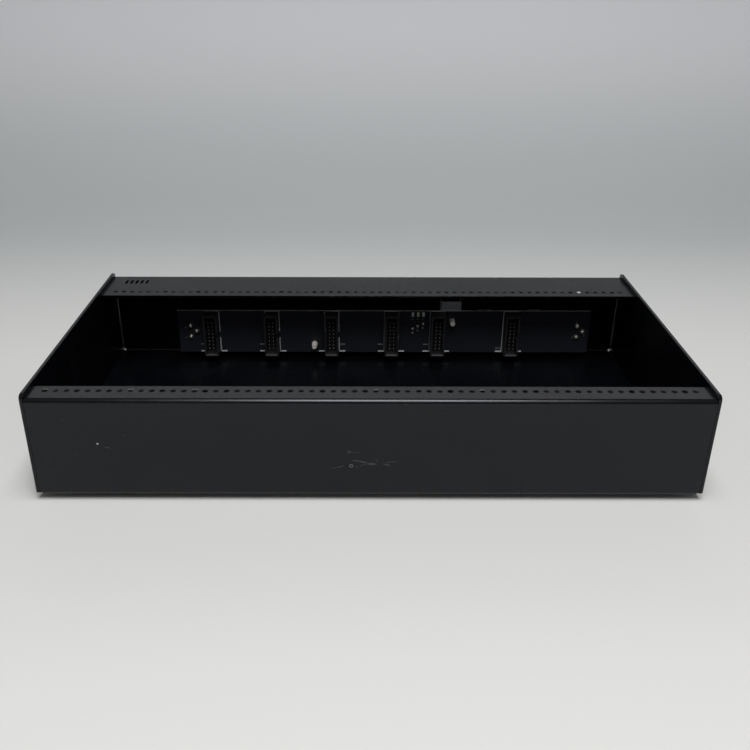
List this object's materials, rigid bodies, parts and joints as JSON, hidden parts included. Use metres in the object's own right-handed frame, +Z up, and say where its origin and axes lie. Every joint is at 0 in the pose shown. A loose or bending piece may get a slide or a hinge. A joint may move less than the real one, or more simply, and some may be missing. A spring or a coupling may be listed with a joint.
{
  "type": "modular synthesizer case",
  "caption": "Low black open-topped case folded from one sheet, with two rows of tapped holes for modules and a power board with shrouded headers along its rear wall.",
  "frame": {"origin": "bottom centre of the whole part, on the plane of the feet", "axes": "+X to the right along the module rows, +Y to the rear, +Z up"},
  "size_m": [0.3282, 0.1624, 0.0593],
  "materials": {
    "powder_coat": "black satin powder coat on folded sheet steel",
    "solder_mask": "black satin solder mask on glass-fibre board",
    "black_moulding": "black moulded plastic",
    "gold_flash": "thin gold flash on square pins",
    "tinned": "tinned contact metal",
    "nickel": "nickel plate",
    "nylon": "natural nylon",
    "bare_aluminium": "grey aluminium sheet",
    "ferrite": "dark grey ferrite, matt",
    "can": "satin aluminium can",
    "amber_resin": "amber dipped resin",
    "lamp_resin": "clear and tinted lamp resin",
    "rubber": "black rubber"
  },
  "bodies": {
    "root": {"chassis": "powder_coat", "power_board": "solder_mask", "header_shroud_1": "black_moulding", "header_shroud_2": "black_moulding", "header_shroud_3": "black_moulding", "header_shroud_4": "black_moulding", "header_shroud_5": "black_moulding", "header_shroud_6": "black_moulding", "header_pins_1": "gold_flash", "header_pins_2": "gold_flash", "header_pins_3": "gold_flash", "header_pins_4": "gold_flash", "header_pins_5": "gold_flash", "header_pins_6": "gold_flash", "jack_left": "black_moulding", "jack_contacts_left": "tinned", "jack_nut_left": "nickel", "inductor_left": "ferrite", "jack_right": "black_moulding", "jack_contacts_right": "tinned", "jack_nut_right": "nickel", "inductor_right": "ferrite", "board_post": "nylon", "push_rivet": "nylon", "heat_sink": "bare_aluminium", "regulator": "black_moulding", "rail_capacitors": "can", "rail_fuses": "amber_resin", "status_lamps": "lamp_resin", "converter_chips": "black_moulding", "foot_1": "rubber", "foot_2": "rubber", "foot_3": "rubber", "foot_4": "rubber"}
  },
  "joints": []
}
